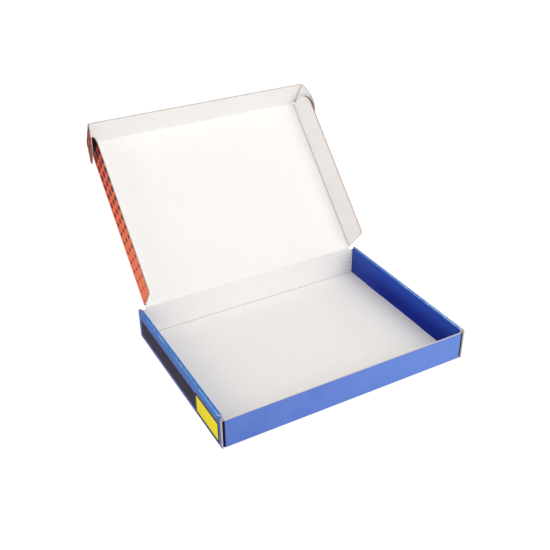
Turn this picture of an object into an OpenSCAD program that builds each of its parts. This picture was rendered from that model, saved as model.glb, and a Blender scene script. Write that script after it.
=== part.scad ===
// Corrugated mailer box with rolled side walls, a hinged lid and a tuck front.
// One die-cut sheet of E-flute board, folded up and standing with its lid open.
// Frame: X along the front wall, Y from the front wall to the hinge, Z up.
// The origin is the middle of the face that the box stands on.

/* [Tray] */
// Outside width, along the front wall
box_w = 312; // [200:1:400]
// Outside depth, from the front wall to the back wall
box_d = 226; // [160:1:300]
// Height of the rolled side walls
side_h = 40; // [32:0.5:60]
// How much lower the front wall and the corner flaps are
front_drop = 3.5; // [2:0.5:6]

/* [Board] */
// Thickness of the board
board = 1.6; // [1.2:0.1:2]
// Inside radius of a fold in the tray
fold_in = 0.4; // [0.2:0.1:1]
// Outside radius of the upright bends at the four corners
corner_bend = 2.4; // [2:0.1:4]
// Air between two layers that lie in one wall
layer_gap = 0.1; // [0.05:0.05:0.3]

/* [Rolled side walls] */
// Distance from the box's end to the end of a rolled top strip
strip_setback = 2.8; // [2:0.1:10]
// Width of the rounded outer corner of a rolled top strip
strip_round = 4.4; // [2:0.1:4.8]
// How much longer than wide that rounded corner is
strip_stretch = 1.8; // [1:0.1:2.5]
// Gap between the end of an inner panel and the wall it faces
inner_end_gap = 0.5; // [0.3:0.1:1.5]

/* [Corner flaps and locks] */
// Length of the flaps that turn from the front and back walls into the side walls
corner_flap = 72; // [40:1:76]
// Slope cut at the free end of a corner flap
corner_slope = 9; // [4:1:14]
// Length of a locking tab under an inner panel
tab_len = 34; // [20:1:40]
// Distance of each tab from the middle of its wall
tab_place = 58; // [42:1:58]
// Clearance all round a tab in its slot
tab_gap = 0.2; // [0.1:0.05:0.3]

/* [Lid] */
// Clearance between the side walls and the lid that closes over them
lid_gap = 0.2; // [0.1:0.05:0.4]
// Clearance between the closed tuck flap and the inside of the front wall
tuck_gap = 4; // [1.5:0.1:6]
// Clearance between a crease bead and the panel that turns round it
crease_gap = 0.2; // [0.15:0.05:0.3]
// Radius of the relief cut at each lid corner
relief = 2.1; // [1.8:0.1:5]

/* [Flaps] */
// Clearance between the edge of a closed flap and the bottom
floor_gap = 3.4; // [2:0.1:10]
// Distance of a side flap's hinge end from the hinge crease
flap_setback = 2; // [2:0.5:6]
// Slope of a side flap's hinge end over its depth
flap_slope = 4.5; // [3:0.5:10]
// Radius at a side flap's hinge end
flap_small_round = 6; // [3:0.5:8]
// Radius at a side flap's front end
flap_large_round = 18; // [12:0.5:20]
// Distance from the tuck crease to the ears and to the shoulders of the front flap
shoulder = 1.6; // [1.5:0.05:3]
// Gap between an ear and the side flap inside it when both are square
ear_gap = 0.9; // [0.7:0.1:1.3]
// Clearance between an ear and the inner side panel when closed
ear_wall_gap = 0.8; // [0.7:0.05:1.2]
// Radius of an ear's tip on the lid side
ear_tip_round = 5; // [3:0.5:6]

/* [How the box stands] */
// Opening angle of the lid, measured from closed
lid_open = 134.5; // [91:0.5:180]
// Fold of the front flap, where 0 is flat with the lid
front_fold = 74; // [70:0.5:91]
// Fold of the left side flap
left_fold = 90; // [88:0.5:92]
// Fold of the right side flap
right_fold = 82; // [80:0.5:92]
// Fold of the left ear against the front flap
left_ear_fold = 80; // [70:0.5:90]
// Fold of the right ear against the front flap
right_ear_fold = 72; // [68:0.5:90]

/* [Hidden] */
$fn = 48;

EPS = 0.01;
TRAY_BLUE = [0.43, 0.50, 0.80];
LID_ORANGE = [0.90, 0.40, 0.29];
FLAP_WHITE = [0.93, 0.92, 0.90];

half_w = box_w / 2;
half_d = box_d / 2;
half_board = board / 2;
fold_out = fold_in + board;
front_h = side_h - front_drop;
// A rolled wall is two panels with a corner flap between them
pocket = board + 2 * layer_gap;
wall_t = 2 * board + pocket;
inside_half_w = half_w - wall_t;
inside_half_d = half_d - board;

hinge_y = half_d - half_board;
hinge_z = side_h + lid_gap + half_board;
lid_len = hinge_y + inside_half_d - tuck_gap - half_board;
ear_crease_x = inside_half_w - ear_wall_gap - half_board;
side_crease_x = ear_crease_x - board - ear_gap;
// A panel starts this far from the axis that it turns on
panel_start = half_board + crease_gap;
flap_end = lid_len - relief;
corner_x = half_w - board - layer_gap;
// The tuck flap and the side flaps are as deep as the closed box allows
flap_depth = hinge_z - board - floor_gap;
// An ear is as long as its flap is deep
ear_len = flap_depth;
ear_round = ear_len - ear_tip_round - half_board;

// Quarter ring with its centre at the origin, in the first quadrant
module quarter_ring(outer) {
    intersection() {
        difference() {
            circle(outer);
            circle(outer - board);
        }
        square(outer);
    }
}

// Rounds the outer corner of a square cut, to be subtracted at a corner at the origin
module corner_cutter(radius) {
    difference() {
        translate([-EPS, -EPS]) square(radius + EPS);
        translate([radius, radius]) circle(radius);
    }
}

// Runs a section drawn in X and Z along Y
module along_y(from_y, to_y) {
    translate([0, to_y, 0]) rotate([90, 0, 0]) linear_extrude(to_y - from_y) children();
}

// Runs a section drawn in Y and Z along X
module along_x(from_x, to_x) {
    translate([from_x, 0, 0]) rotate([90, 0, 90]) linear_extrude(to_x - from_x) children();
}

// Board lying in the local XY plane, with the plane through its middle
module sheet() {
    translate([0, 0, -half_board]) linear_extrude(board) children();
}

// Bead of a crease, from one local point along +X
module bead_x(length) {
    rotate([0, 90, 0]) cylinder(h = length, r = half_board);
}

// Bead of a crease, from one local point along -Y
module bead_y(length) {
    rotate([90, 0, 0]) cylinder(h = length, r = half_board);
}

// Both sides of the box
module both_sides() {
    children();
    mirror([1, 0, 0]) children();
}

// Both ends of the box
module both_ends() {
    children();
    mirror([0, 1, 0]) children();
}

// Section of the outer side panel and its fold into the bottom, at the +X side
module outer_panel_section() {
    translate([half_w - board, fold_out]) square([board, side_h - 2 * fold_out]);
    translate([half_w - fold_out, fold_out]) mirror([0, 1]) quarter_ring(fold_out);
    intersection() {
        translate([half_w - fold_out, side_h - fold_out]) quarter_ring(fold_out);
        translate([half_w - board, side_h - fold_out]) square([board, fold_out]);
    }
}

// Section of the rolled top and the inner panel, at the +X side
module rolled_section() {
    inner_low = board + tab_gap;
    translate([half_w - fold_out, side_h - fold_out]) quarter_ring(fold_out);
    translate([half_w - wall_t + fold_out, side_h - fold_out]) mirror([1, 0]) quarter_ring(fold_out);
    translate([half_w - wall_t + fold_out, side_h - board]) square([wall_t - 2 * fold_out, board]);
    translate([half_w - wall_t, inner_low]) square([board, side_h - fold_out - inner_low]);
}

// Plan of a rolled top strip: its outer corners are rounded
module strip_plan() {
    strip_half = half_d - strip_setback;
    difference() {
        translate([half_w - wall_t - 1, -strip_half]) square([wall_t + 1, 2 * strip_half]);
        both_ends() translate([half_w, strip_half]) rotate(180)
            scale([1, strip_stretch]) corner_cutter(strip_round);
    }
}

// Plan of the inner panel below the strip, which reaches almost to both end walls
module inner_plan() {
    inner_half = inside_half_d - inner_end_gap;
    translate([half_w - wall_t - 1, -inner_half]) square([board + 1 + layer_gap, 2 * inner_half]);
}

// Outer panel, rolled top and inner panel at the +X side
module rolled_wall() {
    along_y(-half_d, half_d) outer_panel_section();
    intersection() {
        along_y(-half_d, half_d) rolled_section();
        union() {
            translate([0, 0, side_h / 2]) linear_extrude(side_h) strip_plan();
            linear_extrude(side_h - fold_out) inner_plan();
        }
    }
}

// Places of the locking tabs along one side
module at_tabs() {
    for (y = [-tab_place, tab_place])
        translate([half_w - wall_t + half_board, y]) children();
}

// Tongues under the inner panel that lock into the bottom
module locking_tabs() {
    tab_low = board / 8;
    at_tabs()
        along_y(-tab_len / 2, tab_len / 2)
            translate([-half_board, tab_low]) square([board, board + 2 * tab_gap]);
}

// Slots in the bottom that take the tabs
module tab_slots() {
    slot = [board + 2 * tab_gap, tab_len + 2 * tab_gap, 3 * board];
    at_tabs() translate([0, 0, board / 2]) cube(slot, center = true);
}

// Bottom panel with its slots
module bottom_panel() {
    difference() {
        translate([-half_w + fold_out, -half_d + fold_out, 0])
            cube([box_w - 2 * fold_out, box_d - 2 * fold_out, board]);
        both_sides() tab_slots();
    }
}

// Plan of the front wall, its two bends and its two corner flaps
module end_wall_plan() {
    bend_x = corner_x - corner_bend;
    bend_y = -half_d + corner_bend;
    translate([-bend_x, -half_d]) square([2 * bend_x, board]);
    both_sides() {
        translate([bend_x, bend_y]) mirror([0, 1]) quarter_ring(corner_bend);
        translate([corner_x - board, bend_y]) square([board, corner_flap]);
    }
}

// Slopes at the free end of a corner flap, drawn in Y and Z
module corner_slopes() {
    flap_y = -half_d + corner_bend + corner_flap;
    slope_h = front_h / 2 - corner_slope / 2;
    polygon([
        [flap_y + 1, front_h + 1],
        [flap_y - corner_slope, front_h + 1],
        [flap_y - corner_slope, front_h],
        [flap_y + 1, front_h - slope_h],
    ]);
    polygon([
        [flap_y + 1, 0],
        [flap_y - corner_slope, 0],
        [flap_y + 1, slope_h],
    ]);
}

// Front wall with its bottom fold, its corner bends and its corner flaps
module end_wall() {
    low = fold_out;
    difference() {
        translate([0, 0, low]) linear_extrude(front_h - low) end_wall_plan();
        both_sides() along_x(corner_x - board - 1, corner_x + 1) corner_slopes();
    }
    along_x(-corner_x + corner_bend, corner_x - corner_bend)
        translate([-half_d + fold_out, fold_out]) rotate(180) quarter_ring(fold_out);
}

// Raised middle of the back wall, up to the bead of the hinge crease
module hinge_strip() {
    strip_half = side_crease_x - panel_start;
    translate([-strip_half, half_d - board, front_h / 2])
        cube([2 * strip_half, board, hinge_z - front_h / 2]);
    translate([-strip_half, hinge_y, hinge_z]) bead_x(2 * strip_half);
}

// Bottom, walls and locks: everything that stays put once the box is folded up
module tray() {
    color(TRAY_BLUE) {
        bottom_panel();
        both_sides() {
            rolled_wall();
            locking_tabs();
        }
        both_ends() end_wall();
        hinge_strip();
    }
}

// Frame of the lid: X along the hinge, -Y towards the tuck crease, Z out of the printed face
module on_lid() {
    translate([0, hinge_y, hinge_z]) rotate([-lid_open, 0, 0]) children();
}

// Frame of the front flap: -Y from the tuck crease to the free edge
module on_front_flap() {
    on_lid() translate([0, -lid_len, 0]) rotate([front_fold, 0, 0]) children();
}

// Outline of the lid panel, with relief cuts at the ends of its creases
module lid_outline() {
    narrow = side_crease_x - panel_start;
    difference() {
        translate([-side_crease_x, -lid_len]) square([2 * side_crease_x, lid_len - panel_start]);
        both_sides() {
            translate([narrow, -flap_setback]) square([side_crease_x, flap_setback + 1]);
            translate([side_crease_x, -lid_len]) circle(relief);
        }
    }
}

module lid() {
    color(LID_ORANGE)
        on_lid() {
            sheet() lid_outline();
            both_sides()
                translate([side_crease_x, -flap_setback, 0]) bead_y(flap_end - flap_setback);
            translate([-side_crease_x + relief, -lid_len, 0]) bead_x(2 * (side_crease_x - relief));
        }
}

// Outline of the front flap: narrow at its crease, then as wide as the two ear creases
module front_flap_outline() {
    crease_half = side_crease_x - relief;
    polygon([
        [-crease_half, -panel_start],
        [-crease_half, -shoulder],
        [-ear_crease_x, -shoulder],
        [-ear_crease_x, -flap_depth],
        [ear_crease_x, -flap_depth],
        [ear_crease_x, -shoulder],
        [crease_half, -shoulder],
        [crease_half, -panel_start],
    ]);
}

module front_flap() {
    color(FLAP_WHITE)
        on_front_flap() {
            sheet() front_flap_outline();
            both_sides() translate([ear_crease_x, -shoulder, 0]) bead_y(flap_depth - shoulder);
        }
}

// Outline of a side flap at the +X side: sloped at the hinge, widely rounded at the front
module side_flap_outline() {
    small = flap_small_round;
    large = flap_large_round;
    start_y = -flap_setback;
    end_y = -flap_end;
    difference() {
        polygon([
            [panel_start, start_y],
            [panel_start, end_y],
            [flap_depth, end_y],
            [flap_depth, start_y - flap_slope],
        ]);
        translate([flap_depth, end_y]) rotate(90) corner_cutter(large);
        translate([flap_depth, start_y - flap_slope]) rotate(180) corner_cutter(small);
    }
}

// A side flap at the +X side, folded by an angle
module side_flap(fold) {
    translate([side_crease_x, 0, 0]) rotate([0, fold, 0]) sheet() side_flap_outline();
}

module right_side_flap() {
    color(FLAP_WHITE) on_lid() side_flap(right_fold);
}

module left_side_flap() {
    color(LID_ORANGE) on_lid() mirror([1, 0, 0]) side_flap(left_fold);
}

// Outline of an ear at the +X side: level with the free edge of the front flap, then a
// quarter disc that ends in a small rounded tip
module ear_outline() {
    corner = ear_len - ear_round;
    difference() {
        union() {
            translate([panel_start, -flap_depth])
                square([corner - panel_start, flap_depth - shoulder]);
            translate([corner, -corner]) intersection() {
                circle(ear_round);
                translate([0, -ear_round]) square(ear_round);
            }
            translate([corner, -corner]) square([ear_round, corner - shoulder]);
        }
        translate([ear_len, -shoulder]) rotate(180) corner_cutter(ear_tip_round);
    }
}

// An ear at the +X side, folded by an angle
module ear(fold) {
    translate([ear_crease_x, 0, 0]) rotate([0, fold, 0]) sheet() ear_outline();
}

module right_ear() {
    color(FLAP_WHITE) on_front_flap() ear(right_ear_fold);
}

module left_ear() {
    color(LID_ORANGE) on_front_flap() mirror([1, 0, 0]) ear(left_ear_fold);
}

tray();
lid();
front_flap();
left_side_flap();
right_side_flap();
left_ear();
right_ear();
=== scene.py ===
import math

import bmesh
import bpy
import numpy as np
from mathutils import Matrix, Vector
from mathutils.geometry import delaunay_2d_cdt


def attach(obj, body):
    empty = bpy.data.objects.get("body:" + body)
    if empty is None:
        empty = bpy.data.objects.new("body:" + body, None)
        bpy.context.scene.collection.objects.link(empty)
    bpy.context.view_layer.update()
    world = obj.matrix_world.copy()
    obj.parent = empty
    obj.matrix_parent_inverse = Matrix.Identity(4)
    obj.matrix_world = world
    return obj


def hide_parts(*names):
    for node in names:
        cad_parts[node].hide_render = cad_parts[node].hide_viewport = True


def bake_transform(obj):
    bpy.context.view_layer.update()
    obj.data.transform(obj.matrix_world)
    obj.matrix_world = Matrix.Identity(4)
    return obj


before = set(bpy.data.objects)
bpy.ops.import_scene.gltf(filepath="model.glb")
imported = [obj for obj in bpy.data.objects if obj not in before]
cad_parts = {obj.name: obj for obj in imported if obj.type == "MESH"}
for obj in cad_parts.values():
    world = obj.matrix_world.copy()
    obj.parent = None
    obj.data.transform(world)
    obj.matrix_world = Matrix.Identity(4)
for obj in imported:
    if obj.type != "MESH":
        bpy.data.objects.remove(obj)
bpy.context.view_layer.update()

# The box is drawn in millimetres, and turns into metres when a piece is made
MM = 0.001

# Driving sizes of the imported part
BOX_W = 312.0
BOX_D = 226.0
SIDE_H = 40.0
FRONT_DROP = 3.5
BOARD = 1.6
FOLD_IN = 0.4
CORNER_BEND = 2.4
LAYER_GAP = 0.1
INNER_END_GAP = 0.5
CORNER_FLAP = 72.0
CORNER_SLOPE = 9.0
TAB_LEN = 34.0
TAB_PLACE = 58.0
TAB_GAP = 0.2
LID_GAP = 0.2
TUCK_GAP = 4.0
CREASE_GAP = 0.2
RELIEF = 2.1
FLOOR_GAP = 3.4
FLAP_SETBACK = 2.0
FLAP_SLOPE = 4.5
FLAP_SMALL_ROUND = 6.0
FLAP_LARGE_ROUND = 18.0
SHOULDER = 1.6
EAR_GAP = 0.9
EAR_WALL_GAP = 0.8
EAR_TIP = 5.0
LID_OPEN = math.radians(134.5)
FRONT_FOLD = math.radians(74.0)
LEFT_FOLD = math.radians(90.0)
RIGHT_FOLD = math.radians(82.0)
LEFT_EAR_FOLD = math.radians(80.0)
RIGHT_EAR_FOLD = math.radians(72.0)

# What follows from them
HALF_W = BOX_W / 2
HALF_D = BOX_D / 2
HALF_BOARD = BOARD / 2
FRONT_H = SIDE_H - FRONT_DROP
FOLD_OUT = FOLD_IN + BOARD
FOLD_MID = FOLD_OUT - HALF_BOARD
SIDE_FOLD = HALF_W - FOLD_OUT
END_FOLD = HALF_D - FOLD_OUT
WALL_T = 3 * BOARD + 2 * LAYER_GAP
INNER_HALF = HALF_D - BOARD - INNER_END_GAP
CORNER_X = HALF_W - BOARD - LAYER_GAP
C_BEND = CORNER_X - CORNER_BEND
HINGE_Y = HALF_D - HALF_BOARD
HINGE_Z = SIDE_H + LID_GAP + HALF_BOARD
LID_LEN = HINGE_Y + HALF_D - BOARD - TUCK_GAP - HALF_BOARD
EAR_CREASE = HALF_W - WALL_T - EAR_WALL_GAP - HALF_BOARD
SIDE_CREASE = EAR_CREASE - BOARD - EAR_GAP
PANEL_START = HALF_BOARD + CREASE_GAP
HINGE_HALF = SIDE_CREASE - PANEL_START
TUCK_HALF = SIDE_CREASE - RELIEF
FLAP_END = LID_LEN - RELIEF
FLAP_DEPTH = HINGE_Z - BOARD - FLOOR_GAP
EAR_LEN = FLAP_DEPTH
EAR_ROUND = EAR_LEN - EAR_TIP - HALF_BOARD

# The board: two paper liners on a fluted medium
LINER = 0.25
CORE = HALF_BOARD - LINER
FLUTE_PITCH = 3.2
FLUTE_PAPER = 0.16
FLUTE_STEPS = 8
# The medium shows in a cut edge whose way in runs along the flutes by more than this cosine
FLUTE_SHOWS = 0.35
# How deep a cut edge is hollow between its liners: where the flutes end, along them, and where rolled
OPEN_GROOVE = 1.5
SHUT_GROOVE = 0.22
ROLLED_GROOVE = 1.0
ARC_STEP = math.radians(11)
BEAD_STEPS = 20

# A liner over a crease stands this far from the crease's axis, and reaches this far on each side
SKIN_LIFT = HALF_BOARD + 0.05
SKIN_FLUSH = HALF_BOARD - 0.005
SKIN_REACH = 2.4
SKIN_PAPER = 0.14
SKIN_MARGIN = 0.1
# On the inside of a fold it dips by a groove of this depth and half width
SIDE_GROOVE = 0.2
TUCK_GROOVE = 0.03
GROOVE_HALF = 0.1

# The raised lip of torn paper at a corner cut
LIP_WIDTH = 0.8
LIP_LIFT = 0.05

# Print on the left wall: limits in height and along Y
BAND_Z = (6.0, 28.6)
BAND_Y = (-49.4, 107.0)
RIM_Z = (3.5, 30.7)
RIM_Y = (-107.7, -49.9)
PANEL_Z = (6.2, 27.8)
PANEL_Y = (-104.8, -52.8)
# Line of the corner cut on the outer panel, below which the top strip's lighter blue, a painted highlight,
# doesn't reach
CUT_Y = 102.5
CUT_Z = 38.6975
CUT_RISE = 0.405

# Halftone of the lid
DOT_PITCH = 12.4
DOT_START = 1.45
DOT_GROWTH = 3.9


def shift(x, y, z):
    return Matrix.Translation((x, y, z))


def turn(angle, axis):
    return Matrix.Rotation(angle, 4, axis)


MIRROR_X = Matrix.Diagonal((-1, 1, 1, 1))
HINGE = shift(0, HINGE_Y, HINGE_Z)
LID = HINGE @ turn(-LID_OPEN, "X")
FRONT_FLAP = LID @ shift(0, -LID_LEN, 0) @ turn(FRONT_FOLD, "X")
RIGHT_FLAP = LID @ shift(SIDE_CREASE, 0, 0) @ turn(RIGHT_FOLD, "Y")
LEFT_FLAP = LID @ MIRROR_X @ shift(SIDE_CREASE, 0, 0) @ turn(LEFT_FOLD, "Y")
RIGHT_EAR = FRONT_FLAP @ shift(EAR_CREASE, 0, 0) @ turn(RIGHT_EAR_FOLD, "Y")
LEFT_EAR = FRONT_FLAP @ MIRROR_X @ shift(EAR_CREASE, 0, 0) @ turn(LEFT_EAR_FOLD, "Y")


# Node graphs

class Graph:
    """A material's node tree, with short calls for the nodes that the materials use."""

    def __init__(self, name):
        self.material = bpy.data.materials.new(name)
        self.material.use_nodes = True
        self.tree = self.material.node_tree
        self.tree.nodes.clear()
        self.output = self.tree.nodes.new("ShaderNodeOutputMaterial")

    def node(self, kind, settings=None, **inputs):
        made = self.tree.nodes.new(kind)
        for key, value in (settings or {}).items():
            setattr(made, key, value)
        for key, value in inputs.items():
            self.put(made.inputs[key.replace("_", " ")], value)
        return made

    def put(self, socket, value):
        if isinstance(value, bpy.types.NodeSocket):
            self.tree.links.new(value, socket)
        else:
            socket.default_value = value

    def math(self, operation, *values, clamp=False):
        made = self.node("ShaderNodeMath", {"operation": operation, "use_clamp": clamp})
        for socket, value in zip(made.inputs, values):
            self.put(socket, value)
        return made.outputs[0]

    def blank(self):
        """Place on the flat blank: along X, along Y, and the side of the board."""
        place = self.node("ShaderNodeAttribute", {"attribute_name": "blank"})
        return place.outputs["Vector"]

    def split(self, vector):
        parts = self.node("ShaderNodeSeparateXYZ", Vector=vector)
        return parts.outputs[0], parts.outputs[1], parts.outputs[2]

    def noise(self, vector, scale, detail=3.0, rough=0.5, stretch=(1, 1, 1)):
        mapped = self.node("ShaderNodeMapping", Vector=vector, Scale=stretch)
        made = self.node(
            "ShaderNodeTexNoise",
            Vector=mapped.outputs[0], Scale=scale, Detail=detail, Roughness=rough,
        )
        return made.outputs["Fac"]

    def ramp(self, value, low, high, to_low=0.0, to_high=1.0):
        made = self.node(
            "ShaderNodeMapRange", {"interpolation_type": "SMOOTHSTEP"},
            Value=value, From_Min=low, From_Max=high, To_Min=to_low, To_Max=to_high,
        )
        return made.outputs["Result"]

    def window(self, value, low, high, soft=0.2):
        """One between two limits and nothing outside, with soft edges."""
        rise = self.ramp(value, low - soft, low + soft)
        return self.math("MULTIPLY", rise, self.ramp(value, high - soft, high + soft, 1.0, 0.0))

    def mix(self, share, first, second):
        made = self.node("ShaderNodeMix", {"data_type": "RGBA"})
        self.put(made.inputs["Factor"], share)
        self.put(made.inputs[6], first)
        self.put(made.inputs[7], second)
        return made.outputs[2]

    def bump(self, height, strength, distance):
        made = self.node("ShaderNodeBump", Height=height, Strength=strength, Distance=distance)
        return made.outputs["Normal"]

    def surface(self, **inputs):
        shader = self.node("ShaderNodeBsdfPrincipled", **inputs)
        self.tree.links.new(shader.outputs[0], self.output.inputs[0])
        return self.material


def srgb(red, green, blue):
    """A colour given as it looks, from 0 to 255, as Blender's linear colour."""
    made = []
    for value in (red, green, blue):
        share = value / 255
        made.append(share / 12.92 if share <= 0.04045 else ((share + 0.055) / 1.055) ** 2.4)
    return (*made, 1.0)


def board_height(g, place):
    """Faint washboard of the flutes under a liner, with the grain of the paper."""
    _, along, _ = g.split(place)
    wave = g.math("SINE", g.math("MULTIPLY", along, 2 * math.pi / FLUTE_PITCH))
    grain = g.noise(place, 1.6, 4.0, 0.6)
    return g.math("ADD", g.math("MULTIPLY", wave, 0.35), g.math("MULTIPLY", grain, 0.5))


def crease_shade(g, place):
    """Painted shade: a grey line in the liner along the side flaps' and ears' creases and the end walls'
    folds.
    """
    x, y, _ = g.split(place)
    out = g.math("ABSOLUTE", x)
    lid = g.ramp(y, BLANK_HINGE + 1, BLANK_HINGE + 3)
    flap = g.ramp(y, BLANK_TUCK - 0.5, BLANK_TUCK + 0.5)
    at = g.math("ADD", g.math("MULTIPLY", flap, EAR_CREASE - SIDE_CREASE), SIDE_CREASE)
    off = g.math("ABSOLUTE", g.math("SUBTRACT", out, at))
    near = g.ramp(off, 0.4, 3.0, 1.0, 0.0)
    turned = g.math("MULTIPLY", g.math("MULTIPLY", near, near), lid)
    foot = g.math("SUBTRACT", g.math("ABSOLUTE", y), END_FOLD + fold_length(FOLD_MID) / 2)
    return g.math("MAXIMUM", turned, g.ramp(g.math("ABSOLUTE", foot), 0.4, 2.4, 0.7, 0.0))


def bend_line_shade(g, place):
    """Painted shade: faint grey lines along the back wall near its right corner, where the board was bent.
    """
    x, y, _ = g.split(place)
    up = g.math("SUBTRACT", y, HALF_D)
    bent = g.math("ADD", up, g.math("MULTIPLY", g.noise(place, 0.03, 2.0, 0.5), 9.0))
    wave = g.math("SINE", g.math("MULTIPLY", bent, 2 * math.pi / (2 * FLUTE_PITCH)))
    line = g.ramp(wave, 0.62, 0.98)
    along = g.ramp(x, 100, HALF_W - WALL_T)
    return g.math("MULTIPLY", g.math("MULTIPLY", line, along), g.window(up, 2.0, 34.0, 1.5))


def white_liner():
    """Bare white paper of the inner face, with painted shade along its creases, folds and bend lines."""
    g = Graph("white_liner")
    place = g.blank()
    fibres = g.noise(place, 0.9, 5.0, 0.65, (0.35, 1.4, 1))
    cloud = g.noise(place, 0.02, 2.0, 0.5)
    colour = g.mix(g.ramp(fibres, 0.3, 0.75), srgb(248, 246, 243), srgb(243, 240, 236))
    colour = g.mix(g.ramp(cloud, 0.35, 0.7, 0.0, 0.5), colour, srgb(244, 241, 239))
    # Painted shade along the creases and the end walls' folds, mixed in as grey
    crease_shade_share = g.math("MULTIPLY", crease_shade(g, place), 0.6)
    colour = g.mix(crease_shade_share, colour, srgb(158, 152, 154))
    # Painted shade of the bend lines on the back wall, mixed in as grey
    colour = g.mix(g.math("MULTIPLY", bend_line_shade(g, place), 0.3), colour, srgb(176, 171, 174))
    normal = g.bump(board_height(g, place), 0.18, 0.0004)
    return g.surface(Base_Color=colour, Roughness=0.62, Specular_IOR_Level=0.35, Normal=normal)


def side_print(g, place, out, y):
    """Print of a rolled side wall: the outer panel, the top strip and the deep blue inner panel. A painted
    highlight lightens the wall's top, and painted shade darkens the inner panel towards its bottom, its
    front and its ends.
    """
    height = g.math("SUBTRACT", out, S_WALL - FOLD_OUT)
    grain = g.noise(place, 0.5, 4.0, 0.6)
    cloud = g.noise(place, 0.035, 3.0, 0.5)
    wall = g.mix(g.ramp(cloud, 0.3, 0.7), srgb(86, 104, 182), srgb(98, 116, 190))
    # Lighter blue of the wall's top: painted highlight where the top faces the light
    azure_highlight = g.mix(g.ramp(grain, 0.35, 0.7), srgb(52, 115, 196), srgb(82, 140, 208))
    far = g.math("ABSOLUTE", y)
    raised = g.math("ADD", height, CUT_RISE * CUT_Y - CUT_Z)
    below = g.ramp(g.math("MULTIPLY_ADD", far, -CUT_RISE, raised), -0.3, 0.1, 1.0, 0.0)
    corner = g.math("MULTIPLY", below, g.ramp(far, CUT_Y, CUT_Y + 3.5))
    # Share of that painted highlight: over the wall's top, but not below the corner cut
    top = g.math("MULTIPLY", g.ramp(height, 30.5, 38.5), g.math("SUBTRACT", 1.0, corner))
    colour = g.mix(top, wall, azure_highlight)
    # Deep blue of the inner panel: partly its print, partly painted shade that darkens it towards the
    # bottom; the lighter blue towards the back is painted light
    deep = g.mix(g.ramp(out, S_INNER, S_INNER + 26), srgb(34, 70, 174), srgb(0, 31, 134))
    back = g.math("MULTIPLY", g.ramp(y, 20, HALF_D), 0.5)
    deep = g.mix(back, deep, srgb(58, 84, 168))
    # Painted shade in the corners: the inner panel darkens to navy near its ends
    end = g.math("MULTIPLY", g.ramp(far, INNER_HALF - 3.0, INNER_HALF - 0.4), 0.7)
    deep = g.mix(end, deep, srgb(10, 8, 44))
    colour = g.mix(g.ramp(out, S_ROLL + 0.5, S_ROLL + 1.5), colour, deep)
    return colour, height


def side_panels(g, place, colour, x, y, height):
    """Bare dark band and bare yellow panel with a dark rim on the left wall."""
    left = g.math("LESS_THAN", x, 0.0)
    wear = g.noise(place, 0.8, 5.0, 0.7)
    dark = g.mix(g.ramp(wear, 0.55, 0.8), srgb(22, 6, 42), srgb(50, 36, 70))
    band = g.math("MULTIPLY", g.window(height, *BAND_Z), g.window(y, *BAND_Y))
    rim = g.math("MULTIPLY", g.window(height, *RIM_Z), g.window(y, *RIM_Y))
    share = g.math("MULTIPLY", g.math("MAXIMUM", band, rim), left)
    colour = g.mix(share, colour, dark)
    panel = g.math("MULTIPLY", g.window(height, *PANEL_Z), g.window(y, *PANEL_Y))
    yellow = g.mix(wear, srgb(255, 238, 30), srgb(250, 228, 40))
    return g.mix(g.math("MULTIPLY", panel, left), colour, yellow)


def tray_print():
    """Blue print of the tray: end walls and bottom, side walls, and wear along the rolled edges. Painted
    light on top of it: end walls lighter towards the right, painted highlights along the rolled edges, and
    painted shade in the corner bends.
    """
    g = Graph("tray_print")
    place = g.blank()
    x, y, _ = g.split(place)
    out = g.math("ABSOLUTE", x)
    cloud = g.noise(place, 0.03, 3.0, 0.5)
    ends = g.mix(g.ramp(cloud, 0.3, 0.7), srgb(92, 122, 200), srgb(100, 130, 206))
    # Painted light: the end walls get lighter towards the right
    ends = g.mix(g.ramp(x, -HALF_W, HALF_W, 0.0, 0.6), ends, srgb(112, 146, 222))
    side, height = side_print(g, place, out, y)
    side = side_panels(g, place, side, x, y, height)
    within = g.ramp(g.math("ABSOLUTE", y), HALF_D - 0.1, HALF_D + 0.1, 1.0, 0.0)
    colour = g.mix(g.math("MULTIPLY", g.ramp(out, S_WALL - 1.0, S_WALL), within), ends, side)
    scuff = g.noise(place, 0.55, 5.0, 0.75, (1.6, 0.35, 1))
    streak = g.noise(place, 0.5, 4.0, 0.7, (1.6, 0.1, 1))
    # Pale marks along the rolled tops: partly scuffed wear, partly painted highlight, stronger on the right
    # wall's strip towards the front
    ridge = g.math("MULTIPLY", g.window(height, 38.9, 39.5, 0.35), g.ramp(streak, 0.47, 0.62))
    strip_highlight = g.math("MULTIPLY", g.window(out, S_STRIP + 0.2, S_ROLL + 0.9, 0.3), g.ramp(scuff, 0.4, 0.6))
    right = g.math("MULTIPLY", g.ramp(x, 0.0, 1.0), g.ramp(y, -70.0, 60.0, 1.1, 0.3))
    strip_highlight = g.math("MULTIPLY", strip_highlight, right)
    wear_and_highlight = g.math("MULTIPLY", g.math("MAXIMUM", ridge, strip_highlight), within)
    # Wear and painted highlight, mixed in as pale blue
    colour = g.mix(g.math("MULTIPLY", wear_and_highlight, 0.7), colour, srgb(206, 226, 244))
    # Painted shade in the gap where each end wall bends round the corner
    bend = g.math("MULTIPLY", g.ramp(out, C_BEND - 1.1, C_BEND - 0.1), g.math("SUBTRACT", 1.0, within))
    colour = g.mix(bend, colour, srgb(8, 2, 36))
    normal = g.bump(board_height(g, place), 0.12, 0.0004)
    return g.surface(Base_Color=colour, Roughness=0.6, Specular_IOR_Level=0.12, Normal=normal)


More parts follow.
